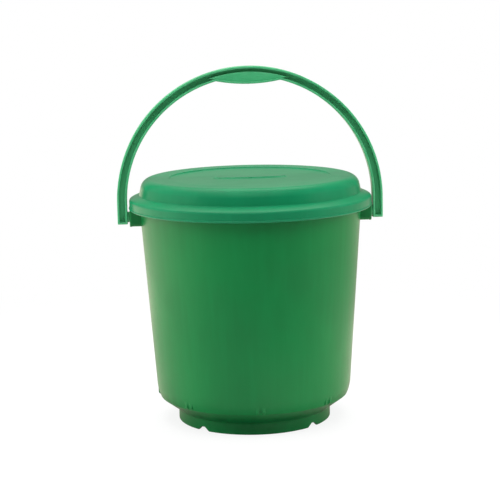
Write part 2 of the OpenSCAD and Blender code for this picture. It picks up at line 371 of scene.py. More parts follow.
def moulding(name, grids, material, body):
    """One piece from one or more closed skins, each a grid of rings, with seams and poles merged."""
    vertices, faces, count = [], [], 0
    for grid in grids:
        vertices.append(grid.reshape(-1, 3) * MM)
        faces.append(ring_faces(grid.shape[0], grid.shape[1]) + count)
        count += grid.shape[0] * grid.shape[1]
    mesh = bpy.data.meshes.new(name)
    mesh.from_pydata(np.concatenate(vertices).tolist(), [], np.concatenate(faces).tolist())
    shape = bmesh.new()
    shape.from_mesh(mesh)
    bmesh.ops.remove_doubles(shape, verts=shape.verts, dist=MERGE_GAP)
    bmesh.ops.dissolve_degenerate(shape, edges=shape.edges, dist=SHORTEST_EDGE)
    bmesh.ops.recalc_face_normals(shape, faces=shape.faces)
    shape.to_mesh(mesh)
    shape.free()
    mesh.shade_smooth()
    mesh.attributes.new("edge", "FLOAT", "POINT").data.foreach_set("value", edge_share(mesh))
    mesh.set_sharp_from_angle(angle=SHARP_TURN)
    mesh.materials.append(material)
    piece = bpy.data.objects.new(name, mesh)
    bpy.context.scene.collection.objects.link(piece)
    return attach(piece, body)


def mirrored(grid):
    """The same grid on the other side of the bucket's middle plane."""
    return grid * np.array([-1, 1, 1])


def belly(inset):
    """Lower side of the bucket, set in from the outside: the slope's start, and the arc of the edge.

    The crease is where the sloping line meets the circle of the lower edge, and the arc runs from there
    to where the circle touches the leaning wall.
    """
    radius = ROUND_R - inset
    start = NECK + inset * SLOPE_IN
    offset = start - ROUND_C
    along = offset @ SLOPE_DIR
    crease = start + SLOPE_DIR * (math.sqrt(along ** 2 - offset @ offset + radius ** 2) - along)
    first = math.atan2(*(crease - ROUND_C)[::-1])
    return start, arc(ROUND_C, radius, first, -DRAFT, ROUND_STEPS)


def wall_radius(height, inset=0.0):
    """Radius of the leaning wall at a height, set in from its outer face."""
    return WALL_LOW_R + (height - ROUND_Z) * math.tan(DRAFT) - inset / math.cos(DRAFT)


def bucket_section():
    """Closed half section of the bucket, from under its middle round the outside to its floor.

    The foot, the neck and the lip are rows of corners. The lower edge, the wall and the rim's roll
    are points of their circles and lines.
    """
    neck, outer = belly(0)
    inner_start, inner = belly(WALL_T)
    floor_z = FOOT_H + FLOOR_T
    floor_r = inner_start[0] + (floor_z - inner_start[1]) / math.tan(UNDER_SLOPE)
    foot_in = FOOT_R - FOOT_T
    lip_in = RIM_R - RIM_T
    lip_z = RIM_Z - RIM_LIP_H
    under_z = RIM_Z - RIM_T
    quarter = math.pi / 2
    heights = np.linspace(ROUND_Z, under_z, WALL_STEPS)[1:-1]
    corners = [(0, FOOT_H, 0), (foot_in, FOOT_H, FOOT_FILLET), (foot_in, 0, FOOT_EDGE),
               (FOOT_R, 0, FOOT_EDGE), (*neck, NECK_FILLET), (*outer[0], CREASE_ROUND)]
    corners += bare(outer[1:])
    corners += [(wall_radius(z), z, 0) for z in heights]
    corners += [(wall_radius(under_z), under_z, RIM_FILLET)]
    corners += bare(arc(ROLL_C, RIM_ROUND - RIM_T, quarter, 0, ROLL_IN_STEPS))
    corners += [(lip_in, lip_z, RIM_LIP_EDGE), (RIM_R, lip_z, RIM_LIP_EDGE)]
    corners += bare(arc(ROLL_C, RIM_ROUND, 0, quarter, ROLL_STEPS))
    corners += [(wall_radius(RIM_Z, WALL_T), RIM_Z, MOUTH_ROUND)]
    corners += [(wall_radius(z, WALL_T), z, 0) for z in heights[::-1]]
    corners += bare(inner[:0:-1])
    corners += [(*inner[0], CREASE_FILLET), (floor_r, floor_z, FLOOR_FILLET), (0, floor_z, 0)]
    return section(corners)


def columns(centres, offsets, radius):
    """Turns round the bucket: even all round, with more at offsets along the wall from each centre."""
    even = np.linspace(-math.pi, math.pi, WALL_COLUMNS, endpoint=False)
    extra = (centres[:, None] + np.asarray(offsets)[None, :] / radius).ravel()
    extra = (extra + math.pi) % (2 * math.pi) - math.pi
    return np.concatenate([even, extra])


def nearest(turns, centres):
    """Signed turn from each column to the centre nearest to it."""
    away = (turns[:, None] - centres[None, :] + math.pi) % (2 * math.pi) - math.pi
    return away[np.arange(len(turns)), np.abs(away).argmin(1)]


def bucket_wall(material):
    """The turned bucket, with air notches lifted out of its foot and ribs pushed out of its lower edge.

    A notch lifts the foot's points in proportion to their height under the notch zone. A rib pushes the
    lower edge out to a flat face just behind the wall's line, and below that to a chamfer that ends at
    the crease.
    """
    outline = bucket_section()
    hands = (-1, 1)
    rib_edges = [s * (RIB_PITCH / 2 + t * RIB_W / 2) + d for s in hands for t in hands
                 for d in (-RIB_FLANK / 2, RIB_FLANK / 2)]
    notch_edges = [s * w / 2 + d for s in hands for w in (NOTCH_TOP_W, NOTCH_W)
                   for d in (-NOTCH_BEND, 0, NOTCH_BEND)]
    notch_edges += np.linspace(-NOTCH_W / 2, NOTCH_W / 2, NOTCH_STEPS).tolist()
    turns = np.unique(np.round(np.concatenate([
        columns(RIB_TURNS, rib_edges, WALL_LOW_R),
        columns(NOTCH_TURNS, notch_edges, FOOT_R)]), TURN_DIGITS))
    radius = np.repeat(outline[:, :1], len(turns), axis=1)
    height = np.repeat(outline[:, 1:], len(turns), axis=1)

    away = np.abs(nearest(turns, NOTCH_TURNS)) * FOOT_R
    lift = NOTCH_H * np.clip((NOTCH_W / 2 - away) / (NOTCH_W / 2 - NOTCH_TOP_W / 2), 0, 1)
    in_foot = height < NOTCH_ZONE
    height = np.where(in_foot, lift + height * (NOTCH_ZONE - lift) / NOTCH_ZONE, height)

    crease_r, crease_z = belly(0)[1][0]
    knee_z = ROUND_Z - RIB_STRAIGHT
    chamfer = crease_r + (height - crease_z) * (wall_radius(knee_z) - crease_r) / (knee_z - crease_z)
    rib_face = np.where(height > knee_z, wall_radius(height), chamfer) - RIB_SINK
    beside = np.abs(np.abs(nearest(turns, RIB_TURNS)) * WALL_LOW_R - RIB_PITCH / 2)
    on_rib = 1 - smooth(RIB_W / 2 - RIB_FLANK / 2, RIB_W / 2 + RIB_FLANK / 2, beside)
    outside = np.arange(len(outline))[:, None] < outline[:, 0].argmax()
    in_rib_zone = outside & (height > crease_z) & (height < ROUND_Z)
    radius = np.where(in_rib_zone, radius + on_rib * np.maximum(rib_face - radius, 0), radius)
    grid = turned(radius, height, turns)
    wall = moulding("bucket_wall", [grid], material, "bucket")
    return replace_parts(wall, "bucket_body")


def ear_outline(inset):
    """Front outline of an ear's plate as (y, z), with round lower corners, set in from its edge."""
    side = EAR_W / 2 - inset
    low = PIVOT_Z - EAR_DOWN + inset
    top = EAR_TOP_Z - inset
    corners = np.array([[-side, low], [side, low], [side, PIVOT_Z], [side, top], [0, top], [-side, top],
                        [-side, PIVOT_Z]])
    low_round = EAR_ROUND - inset
    radii = [low_round, low_round, 0, EAR_TOP_ROUND, 0, EAR_TOP_ROUND, 0]
    return rounded(corners, radii, EAR_OUTLINE_STEPS)


def on_plane(outline, depth):
    """Ring of (x, y, z) points from an outline of (y, z) points at one x."""
    return np.concatenate([np.full((len(outline), 1), depth), outline], axis=1)


def ear_plate():
    """Plate with a pivot hole: rings from the hole over the round outer edge and back inside."""
    edge = ear_outline(0)
    around = unit(edge - [0, PIVOT_Z])
    hole = [0, PIVOT_Z] + (PIN_R + PIN_FIT) * around
    back = EAR_FACE - EAR_PLATE_T
    rings = [on_plane(hole, back), on_plane(hole, EAR_FACE)]
    for turn in np.linspace(0, math.pi / 2, EAR_BEVEL_STEPS):
        inset = EAR_EDGE * (1 - math.sin(turn))
        rings.append(on_plane(ear_outline(inset), EAR_FACE - EAR_EDGE * (1 - math.cos(turn))))
    rings += [on_plane(edge, back), rings[0]]
    return np.stack(rings)


def bar(outline, start, stop):
    """Closed bar: an outline of (y, z) points carried along x, from start to stop."""
    return capped(np.stack([on_plane(outline, start), on_plane(outline, stop)]))


def ear_sides():
    """The two side walls, their lower edge following the round corner, and the shelf that joins them."""
    inside = EAR_W / 2 - EAR_SIDE_T
    outside = EAR_W / 2 - SIDE_INSET
    low = PIVOT_Z - EAR_DOWN
    top = EAR_TOP_Z - SIDE_INSET
    first_turn = math.asin((inside - EAR_W / 2 + EAR_ROUND) / EAR_ROUND)
    turn = np.linspace(first_turn, math.pi / 2 - SIDE_TURN_SHORT, SIDE_STEPS)
    under = np.stack([EAR_W / 2 - EAR_ROUND + EAR_ROUND * np.sin(turn),
                      low + EAR_ROUND - EAR_ROUND * np.cos(turn)], axis=-1)
    side = np.concatenate([under, [[outside, low + EAR_ROUND], [outside, top], [inside, top]]])
    shelf_z = top - EAR_SIDE_T
    shelf = np.array([[-outside, shelf_z], [outside, shelf_z], [outside, top], [-outside, top]])
    root = wall_radius(PIVOT_Z, WALL_T / 2)
    front = EAR_FACE - EAR_PLATE_T / 2
    bars = [bar(shelf, RIM_R - RIM_T, front)]
    bars += [bar(side * [hand, 1], root, front) for hand in (-1, 1)]
    return bars


def ear_gussets():
    """The side walls' upper ends: an outline along the middle of the rim's roll, carried across."""
    far = math.sqrt((RIM_R - RIM_T / 2) ** 2 - EAR_W ** 2 / 4)
    roll = arc(ROLL_C, RIM_ROUND - RIM_T / 2, 0, math.pi / 2, GUSSET_STEPS)
    roll = roll + [far - RIM_R + RIM_T / 2, 0]
    root = wall_radius(PIVOT_Z, WALL_T / 2)
    outline = np.concatenate([[[root, PIVOT_Z], [far, PIVOT_Z]], roll, [[root, RIM_Z - RIM_T / 2]]])
    inside = EAR_W / 2 - EAR_SIDE_T + GUSSET_GAP
    outside = EAR_W / 2 - GUSSET_INSET
    face = np.stack([outline[:, 0], np.full(len(outline), inside), outline[:, 1]], axis=-1)
    gusset = capped(np.stack([face, face + [0, outside - inside, 0]]))
    return [gusset, gusset * [1, -1, 1]]


def ear_curtain():
    """Curved wall from the rim's lip down to the shelf: a small section turned about the axis."""
    half = math.asin((EAR_W / 2 - CURTAIN_GAP) / RIM_R)
    turns = np.linspace(-half, half, CURTAIN_STEPS)[:, None]
    low = EAR_TOP_Z - EAR_SIDE_T
    high = RIM_Z - RIM_LIP_H + CURTAIN_LAP
    near = RIM_R - RIM_T + CURTAIN_GAP
    far = RIM_R - RIM_T / 2
    radius = np.array([near, far, far, near])
    height = np.broadcast_to([low, low, high, high], (len(turns), len(radius)))
    return capped(np.stack([radius * np.cos(turns), radius * np.sin(turns), height], axis=-1))


def ears(material):
    """Both bail ears, mirror images of each other."""
    parts = [ear_plate(), *ear_sides(), *ear_gussets(), ear_curtain()]
    moulding("ear_right", parts, material, "bucket")
    moulding("ear_left", [mirrored(part) for part in parts], material, "bucket")


def lid_section():
    """Closed half section of the lid, from the middle of its top out to the bead and back inside.

    The flange falls away from the dome along a straight line, and its underside is one thickness below
    it, up to where that line meets the inner face of the dome's side.
    """
    floor_z = DOME_Z - RECESS_D
    shoulder_z = DOME_Z - DOME_ROUND
    lean = math.tan(DOME_LEAN)
    fall = math.tan(FLANGE_LEAN)
    shoulder_r = DOME_R - (shoulder_z - FLANGE_Z) * lean - DOME_ROUND / math.cos(DOME_LEAN)
    shoulder = np.array([shoulder_r, shoulder_z])
    outer = arc(shoulder, DOME_ROUND, math.pi / 2, DOME_LEAN, DOME_STEPS)
    inner = arc(shoulder, DOME_ROUND - LID_T, DOME_LEAN, math.pi / 2, DOME_IN_STEPS)
    bead_half = BEAD_H / 2
    bead_c = np.array([BEAD_R - bead_half, SKIRT_Z + bead_half])
    bead_start = math.acos((SKIRT_R - bead_c[0]) / bead_half)
    bead = arc(bead_c, bead_half, bead_start, -math.pi / 2, BEAD_STEPS)
    skirt_in = SKIRT_R - LID_T
    drop = LID_T / math.cos(FLANGE_LEAN)
    side_base = DOME_R - LID_T / math.cos(DOME_LEAN)
    meet_r = (side_base + lean * (drop - DOME_R * fall)) / (1 - lean * fall)
    skirt_top = FLANGE_Z - drop - (skirt_in - DOME_R) * fall
    meet_z = FLANGE_Z - drop - (meet_r - DOME_R) * fall
    recess_out = RECESS_R + RECESS_SLOPE
    corners = [(r, floor_z, 0) for r in np.arange(0, PLATE_ROWS_R, PLATE_ROW)]
    corners += [(RECESS_R, floor_z, RECESS_EDGE), (recess_out, DOME_Z, RECESS_EDGE)]
    corners += bare(outer)
    corners += [(DOME_R, FLANGE_Z, DOME_FILLET), (SKIRT_R, FLANGE_Z - FLANGE_FALL, SKIRT_ROUND)]
    corners += bare(bead)
    corners += [(skirt_in, SKIRT_Z, SKIRT_EDGE), (skirt_in, skirt_top, FLANGE_FILLET),
                (meet_r, meet_z, FLANGE_FILLET)]
    corners += bare(inner)
    corners += [(recess_out + LID_T, DOME_Z - LID_T, RECESS_UNDER_EDGE),
                (RECESS_R + LID_T, floor_z - LID_T, RECESS_UNDER_EDGE), (0, floor_z - LID_T, 0)]
    return section(corners, LID_ARC_STEPS)


def cap_lid(material):
    """The turned lid, with a plain oval plate raised in the middle of its top.

    The plate's share falls from 1 to 0 across a soft edge, just inside |x/a|^3 + |y/b|^3 = 1.
    """
    outline = lid_section()
    turns = np.linspace(-math.pi, math.pi, LID_COLUMNS, endpoint=False)
    grid = turned(outline[:, :1], outline[:, 1:], turns)
    across = np.abs(grid[..., 0] / PLATE_HALF_X)
    along = np.abs(grid[..., 1] / PLATE_HALF_Y)
    oval = np.cbrt(across ** 3 + along ** 3)
    on_top = grid[..., 2] > DOME_Z - RECESS_D - LID_T / 2
    grid[..., 2] += np.where(on_top, PLATE_H * (1 - smooth(1 - PLATE_EDGE, 1, oval)), 0)
    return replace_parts(moulding("cap_lid", [grid], material, "lid"), "lid")


def bail_stations():
    """Stations from the left leg's end over the crown to the right leg's end: height and angle of each.

    On a leg the angle stays level and the height climbs. On the arch the height stays and the angle
    turns.
    """
    climb = np.unique(np.concatenate([
        LEG_EDGE_CLIMB,
        np.linspace(LEG_EDGE, LEG_ROUND, LEG_ROUND_STEPS),
        [LEG_END_T - LEG_END_BEND, LEG_END_T + LEG_END_BEND],
        np.linspace(LEG_ROUND, ARCH_Z - LEG_Z, LEG_STEPS)]))
    turn = np.linspace(math.pi, 0, ARCH_STEPS)
    height = np.concatenate([LEG_Z + climb[:-1], np.full(len(turn), ARCH_Z), LEG_Z + climb[-2::-1]])
    angle = np.concatenate([np.full(len(climb) - 1, math.pi), turn, np.zeros(len(climb) - 1)])
    return height, angle


def grip_reach(angle, inset):
    """Distance from the arch's centre to the grip's lower circle, set in, along each angle.

    Where an angle misses the circle, or lies low on the arch, it is the arch's outer radius.
    """
    across = (GRIP_R - inset) ** 2 - (GRIP_UP * np.cos(angle)) ** 2
    hit = (across > 0) & (np.sin(angle) > GRIP_SINE)
    return np.where(hit, GRIP_UP * np.sin(angle) - np.sqrt(np.maximum(across, 0)), LEG_OUT)


def bail_bow(material):
    """I section carried along legs and arch, with a bellied lower flange and a filled web at the grip.

    Distances are measured out from the arch's centre, or from the middle plane on the legs. Where the
    grip's circle dips under the arch the lower flange follows it, and a pad fills the web up to the
    groove under the crown flange. At a leg's end the recess closes, the depth follows the round corner
    and the edges draw in.
    """
    height, angle = bail_stations()
    up = height - LEG_Z
    corner = np.sqrt(np.maximum(LEG_ROUND ** 2 - (LEG_ROUND - up) ** 2, 0))
    depth = np.where(up < LEG_ROUND, HALF_DEPTH - LEG_ROUND + corner, HALF_DEPTH)
    draw = np.clip(LEG_EDGE - up, 0, None)
    under = np.minimum(LEG_IN, grip_reach(angle, 0))
    crown = LEG_OUT - draw
    low = under + draw
    crown_in = np.full_like(up, LEG_OUT - BAIL_FLANGE_T)
    low_in = under + BAIL_FLANGE_T
    open_web = smooth(LEG_END_T - LEG_END_BEND, LEG_END_T + LEG_END_BEND, up)
    web = depth + (HALF_WEB - depth) * open_web
    pad_top = crown_in - GRIP_GROOVE
    pad_low = grip_reach(angle, BAIL_FLANGE_T / 2)
    in_pad = smooth(0, PAD_RISE, pad_top - pad_low)
    pad = web + (HALF_DEPTH - PAD_DROP - web) * in_pad
    in_flange = smooth(-PAD_FLANGE_BEND, PAD_FLANGE_BEND, low_in - pad_low)
    under_pad = web + (pad - web) * in_flange
    pad_low = np.clip(pad_low, low_in + PAD_OVER_FLANGE, pad_top - PAD_LEAST)
    middle = np.zeros_like(up)
    front = [(crown, middle), (crown, depth), (crown_in, depth), (crown_in, web),
             (pad_top, web), (pad_top, pad), (pad_low, pad), (pad_low, under_pad),
             (low_in, under_pad), (low_in, depth), (low, depth), (low, middle)]
    back = [(distance, -side) for distance, side in front[-2:0:-1]]
    outline = np.stack([np.stack(pair, axis=-1) for pair in front + back], axis=1)
    half_radii = [0, BAIL_OUT_ROUND, BAIL_FLANGE_ROUND, WEB_FILLET,
                  WEB_FILLET, PAD_ROUND, PAD_ROUND, WEB_FILLET,
                  WEB_FILLET, BAIL_FLANGE_ROUND, BAIL_OUT_ROUND, 0]
    rings = rounded(outline, half_radii + half_radii[-2:0:-1], BAIL_ARC_STEPS)
    out, side = rings[..., 0], rings[..., 1]
    grid = np.stack([out * np.cos(angle)[:, None], side,
                     height[:, None] + out * np.sin(angle)[:, None]], axis=-1)
    bow = moulding("bail_bow", [capped(grid)], material, "bail")
    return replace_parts(bow, "bail_handle")


def pivot_studs(material):
    """Studs on the legs' inner faces: shoulder, pin and snap head turned about the pivot's axis."""
    root = LEG_IN + BAIL_FLANGE_T / 2
    shoulder = EAR_FACE + STUD_FIT
    neck = EAR_FACE - EAR_PLATE_T - STUD_FIT
    tip = neck - HEAD_L
    corners = [(root, 0, 0), (root, SHOULDER_R, 0), (shoulder, SHOULDER_R, SHOULDER_EDGE),
               (shoulder, PIN_R, PIN_FILLET), (neck, PIN_R, PIN_FILLET), (neck, HEAD_R, HEAD_EDGE),
               (tip, HEAD_R - HEAD_TAPER, HEAD_ROUND), (tip, 0, 0)]
    outline = section(corners, STUD_ARC_STEPS)
    turns = np.linspace(-math.pi, math.pi, STUD_COLUMNS, endpoint=False)
    grid = np.stack([np.repeat(outline[:, :1], len(turns), axis=1), outline[:, 1:] * np.cos(turns),
                     PIVOT_Z + outline[:, 1:] * np.sin(turns)], axis=-1)
    moulding("pivot_stud_right", [grid], material, "bail")
    moulding("pivot_stud_left", [mirrored(grid)], material, "bail")


def plug(tree, value, socket):
    """Gives a socket another node's output or a plain value."""
    if isinstance(value, bpy.types.NodeSocket):
        tree.links.new(value, socket)
    else:
        socket.default_value = value


def add_node(tree, kind, fields=(), **sockets):
    """Shader node with its fields and its sockets set."""
    node = tree.nodes.new("ShaderNode" + kind)
    for name, value in dict(fields).items():
        setattr(node, name, value)
    for name, value in sockets.items():
        plug(tree, value, node.inputs[name.replace("_", " ")])
    return node


def calc(tree, operation, first, second=0.0):
    """One step of arithmetic on two values."""
    node = tree.nodes.new("ShaderNodeMath")
    node.operation = operation
    plug(tree, first, node.inputs[0])
    plug(tree, second, node.inputs[1])
    return node.outputs[0]


def times(tree, first, second):
    """Two values multiplied."""
    return calc(tree, "MULTIPLY", first, second)


def blend(tree, share, first, second):
    """The first value where the share is 0, the second where it is 1, and their weighted sum between."""
    rest = calc(tree, "SUBTRACT", 1.0, share)
    return calc(tree, "ADD", times(tree, first, rest), times(tree, second, share))


def span(tree, value, low, high, start=0.0, stop=1.0):
    """A value carried from low and high to start and stop on an S curve."""
    node = add_node(tree, "MapRange", {"interpolation_type": "SMOOTHSTEP"}, Value=value, From_Min=low,
                    From_Max=high, To_Min=start, To_Max=stop)
    return node.outputs["Result"]


# Places of the Mix node's colour sockets: the two that go in, and the one that comes out
MIX_FIRST = 6
MIX_SECOND = 7
MIX_RESULT = 2


def tint(tree, share, first, second):
    """A colour between two others."""
    node = tree.nodes.new("ShaderNodeMix")
    node.data_type = "RGBA"
    plug(tree, share, node.inputs[0])
    plug(tree, first, node.inputs[MIX_FIRST])
    plug(tree, second, node.inputs[MIX_SECOND])
    return node.outputs[MIX_RESULT]


def stretched(tree, place, scale, turn=(0, 0, 0)):
    """A place turned and then scaled along each axis."""
    node = add_node(tree, "Mapping", {"vector_type": "POINT"}, Vector=place, Rotation=turn, Scale=scale)
    return node.outputs["Vector"]


def grain(tree, place, scale, detail=2.0, roughness=0.5):
    """Cloudy noise from 0 to 1."""
    node = add_node(tree, "TexNoise", Vector=place, Scale=scale, Detail=detail, Roughness=roughness)
    return node.outputs["Fac"]


def effect(name, takes, gives):
    """Empty shader node group that takes a place and a named value: its tree and its inner sockets."""
    tree = bpy.data.node_groups.new(name, "ShaderNodeTree")
    tree.interface.new_socket("Place", in_out="INPUT", socket_type="NodeSocketVector")
    tree.interface.new_socket(takes, in_out="INPUT", socket_type="NodeSocketFloat")
    for label in gives:
        tree.interface.new_socket(label, in_out="OUTPUT", socket_type="NodeSocketFloat")
    return tree, tree.nodes.new("NodeGroupInput").outputs, tree.nodes.new("NodeGroupOutput").inputs


# Noise of the plastics, in waves per metre, and the ways the scratches run
STREAK_SCALE = (120, 120, 5)
SATIN_SCALE = 620.0
SATIN_SHARE = 0.7
FINE_SCALE = 1900.0
SCUFF_SCALE = 16.0
SCRATCH_SCALE = (1100, 1100, 26)
SCRATCH_TURNS = ((0.35, 0.5, 0.0), (-0.6, -0.3, 0.8))
RUB_SCALE = 90.0

# How strongly streaks, rubbing and scratches show in the colour, the roughness and the relief
STREAK_TINT = 0.5
RUB_TINT = 0.6
SCRATCH_TINT = 0.3
CLOUD_MATT = 0.05
SCRATCH_MATT = 0.2
RUB_MATT = 0.1
SATIN_STRENGTH = 0.25
SCRATCH_STRENGTH = 0.3
RELIEF_DEPTH = 0.0001


def moulded_flow():
    """Pigment that isn't quite even: broad clouds, and streaks along the way the melt ran up."""
    tree, given, out = effect("moulded_flow", "Patches", ["Cloud", "Streak"])
    cloud = grain(tree, given["Place"], given["Patches"], detail=3.0, roughness=0.55)
    plug(tree, span(tree, cloud, low=0.3, high=0.7), out["Cloud"])
    along = stretched(tree, given["Place"], STREAK_SCALE)
    streak = grain(tree, along, scale=1.0, detail=3.0, roughness=0.6)
    plug(tree, span(tree, streak, low=0.4, high=0.75), out["Streak"])
    return tree


def moulded_skin():
    """Height of the mould's fine satin grain, and of the slow waves of a thin wall that shrank."""
    tree, given, out = effect("moulded_skin", "Waves", ["Satin", "Wave"])
    coarse = times(tree, grain(tree, given["Place"], SATIN_SCALE), SATIN_SHARE)
    fine = times(tree, grain(tree, given["Place"], FINE_SCALE, detail=1.0), 1 - SATIN_SHARE)
    plug(tree, calc(tree, "ADD", coarse, fine), out["Satin"])
    plug(tree, grain(tree, given["Place"], given["Waves"], detail=1.0), out["Wave"])
    return tree


def handling_wear():
    """Marks of use: fine scratches in two directions inside scuffed patches, and rubbed edges."""
    tree, given, out = effect("handling_wear", "Edge", ["Scratch", "Rub"])
    scuff = grain(tree, given["Place"], SCUFF_SCALE, detail=3.0, roughness=0.6)
    patch = span(tree, scuff, low=0.5, high=0.68)
    lines = []
    for turn in SCRATCH_TURNS:
        line = grain(tree, stretched(tree, given["Place"], SCRATCH_SCALE, turn), scale=1.0, detail=1.0)
        lines.append(span(tree, line, low=0.66, high=0.74))
    plug(tree, times(tree, calc(tree, "MAXIMUM", *lines), patch), out["Scratch"])
    worn = grain(tree, given["Place"], RUB_SCALE, detail=3.0, roughness=0.65)
    plug(tree, times(tree, span(tree, worn, low=0.3, high=0.62), given["Edge"]), out["Rub"])
    return tree


FLOW = moulded_flow()
SKIN = moulded_skin()
WEAR = handling_wear()


def place_effect(tree, group, **sockets):
    """A node group placed in a material: its named outputs."""
    node = tree.nodes.new("ShaderNodeGroup")
    node.node_tree = group
    for name, value in sockets.items():
        plug(tree, value, node.inputs[name])
    return node.outputs


def moulded_plastic(name, deep, body, streaked, rubbed, roughness, patches, waves, wave_depth):
    """Glossy coloured plastic with uneven pigment, satin skin, fine scratches and paler rubbed edges."""
    material = bpy.data.materials.new(name)
    material.use_nodes = True
    tree = material.node_tree
    shader = tree.nodes["Principled BSDF"]
    place = tree.nodes.new("ShaderNodeTexCoord").outputs["Object"]
    edge = add_node(tree, "Attribute", {"attribute_name": "edge"}).outputs["Fac"]
    flow = place_effect(tree, FLOW, Place=place, Patches=patches)
    skin = place_effect(tree, SKIN, Place=place, Waves=waves)
    wear = place_effect(tree, WEAR, Place=place, Edge=edge)
    colour = tint(tree, flow["Cloud"], (*deep, 1), (*body, 1))
    colour = tint(tree, times(tree, flow["Streak"], STREAK_TINT), colour, (*streaked, 1))
    colour = tint(tree, times(tree, wear["Rub"], RUB_TINT), colour, (*rubbed, 1))
    colour = tint(tree, times(tree, wear["Scratch"], SCRATCH_TINT), colour, (*rubbed, 1))
    plug(tree, colour, shader.inputs["Base Color"])
    matt = span(tree, flow["Cloud"], 0.0, 1.0, roughness + CLOUD_MATT, roughness)
    matt = calc(tree, "ADD", matt, times(tree, wear["Scratch"], SCRATCH_MATT))
    matt = calc(tree, "ADD", matt, times(tree, wear["Rub"], RUB_MATT))
    plug(tree, matt, shader.inputs["Roughness"])
    wave = add_node(tree, "Bump", Strength=1.0, Distance=wave_depth, Height=skin["Wave"])
    satin = add_node(tree, "Bump", Strength=SATIN_STRENGTH, Distance=RELIEF_DEPTH, Height=skin["Satin"],
                     Normal=wave.outputs["Normal"])
    cut = add_node(tree, "Bump", {"invert": True}, Strength=SCRATCH_STRENGTH, Distance=RELIEF_DEPTH,
                   Height=wear["Scratch"], Normal=satin.outputs["Normal"])
    plug(tree, cut.outputs["Normal"], shader.inputs["Normal"])
    return material


bucket_plastic = moulded_plastic(
    "bucket_plastic", deep=(0.001, 0.168, 0.038), body=(0.001, 0.191, 0.043),
    streaked=(0.002, 0.208, 0.049), rubbed=(0.015, 0.23, 0.065),
    roughness=0.285, patches=9.0, waves=14.0, wave_depth=0.0003)
lid_plastic = moulded_plastic(
    "lid_plastic", deep=(0.001, 0.190, 0.073), body=(0.001, 0.214, 0.082),
    streaked=(0.002, 0.228, 0.089), rubbed=(0.012, 0.25, 0.11),
    roughness=0.28, patches=11.0, waves=24.0, wave_depth=0.0005)
bail_plastic = moulded_plastic(
    "bail_plastic", deep=(0.047, 0.395, 0.158), body=(0.055, 0.440, 0.180),
    streaked=(0.062, 0.460, 0.193), rubbed=(0.12, 0.52, 0.25),
    roughness=0.30, patches=20.0, waves=40.0, wave_depth=0.0002)

bucket_wall(bucket_plastic)
ears(bucket_plastic)
cap_lid(lid_plastic)
bail_bow(bail_plastic)
pivot_studs(bail_plastic)

# Camera at the photograph's place: how it stands round the bucket, how far off, and how it is turned
CAMERA_AIM = np.array([0.0, 0.0, 0.130])
CAMERA_ROUND = math.radians(-3.5)
CAMERA_UP = math.radians(11.747)
CAMERA_AWAY = 1.90836
CAMERA_ROLL = math.radians(1.207)
CAMERA_SIGHT = 400.0
IMAGE_PIXELS = 500
FOCUS_PIXELS = 1549.48
AIM_RIGHT_PIXELS = 1.269
AIM_DOWN_PIXELS = 61.456
SENSOR_MM = 36.0


def stand(name, data, right, above, back, place):
    """Object that stands at a place, with its own axes to the right, above and back."""
    axes = np.eye(4)
    axes[:3, :3] = np.stack([right, above, back], axis=1)
    axes[:3, 3] = place
    thing = bpy.data.objects.new(name, data)
    thing.matrix_world = Matrix(axes.tolist())
    bpy.context.scene.collection.objects.link(thing)
    return thing


def turn_about(first, second, angle):
    """Two axes turned in their own plane, the first towards the second."""
    cosine, sine = math.cos(angle), math.sin(angle)
    return cosine * first + sine * second, cosine * second - sine * first


def camera():
    """Camera that looks past the aim point by the pixels that the photograph's framing gives."""
    level = math.cos(CAMERA_UP)
    back = np.array([math.sin(CAMERA_ROUND) * level, -math.cos(CAMERA_ROUND) * level,
                     math.sin(CAMERA_UP)])
    forward = -back
    right = np.array([math.cos(CAMERA_ROUND), math.sin(CAMERA_ROUND), 0])
    above = np.cross(right, forward)
    forward, above = turn_about(forward, above, math.atan2(AIM_DOWN_PIXELS, FOCUS_PIXELS))
    forward, right = turn_about(forward, right, -math.atan2(AIM_RIGHT_PIXELS, FOCUS_PIXELS))
    above, right = turn_about(above, right, CAMERA_ROLL)
    data = bpy.data.cameras.new("photo_camera")
    data.sensor_width = SENSOR_MM
    data.lens = SENSOR_MM * FOCUS_PIXELS / IMAGE_PIXELS
    data.clip_end = CAMERA_SIGHT
    place = CAMERA_AIM + back * CAMERA_AWAY
    bpy.context.scene.camera = stand("photo_camera", data, right, above, -forward, place)


# Lamps: powers in watts, and the point that all but the upper one face
ABOVE_POWER = 38.0
FRONT_POWER = 10.8
LEFT_POWER = 19.5
RIGHT_POWER = 19.0
LAMP_AIM = (0, 0, 0.2)

# Room as light: its level low down and overhead, and the rises between which it changes
ROOM_LOW = 0.1
ROOM_HIGH = 1.1
ROOM_RISE = (0.4, 0.9)

# Room in reflections: its tint, its level in front and behind, and the light panel overhead
ROOM_MIRROR_TINT = (1.0, 0.93, 0.86, 1.0)
ROOM_MIRROR_FRONT = 0.08
ROOM_MIRROR_BACK = 0.42
ROOM_MIRROR_ABOVE = 1.2
ROOM_LEFT_TURN = (-1.15, 0.45)
ROOM_RIGHT_TURN = (-0.5, 1.2)
ROOM_RIGHT_BEND = 2.0
PANEL_LEAST_RISE = 0.05
PANEL_SIDE = (0.35, 0.75)
PANEL_NEAR_EDGE = (0.18, 0.5)
PANEL_FAR_EDGE = (1.1, 1.5)

# Where a direction counts as left and as right, by its x
SIDE_SPAN = (-0.2, 0.2)

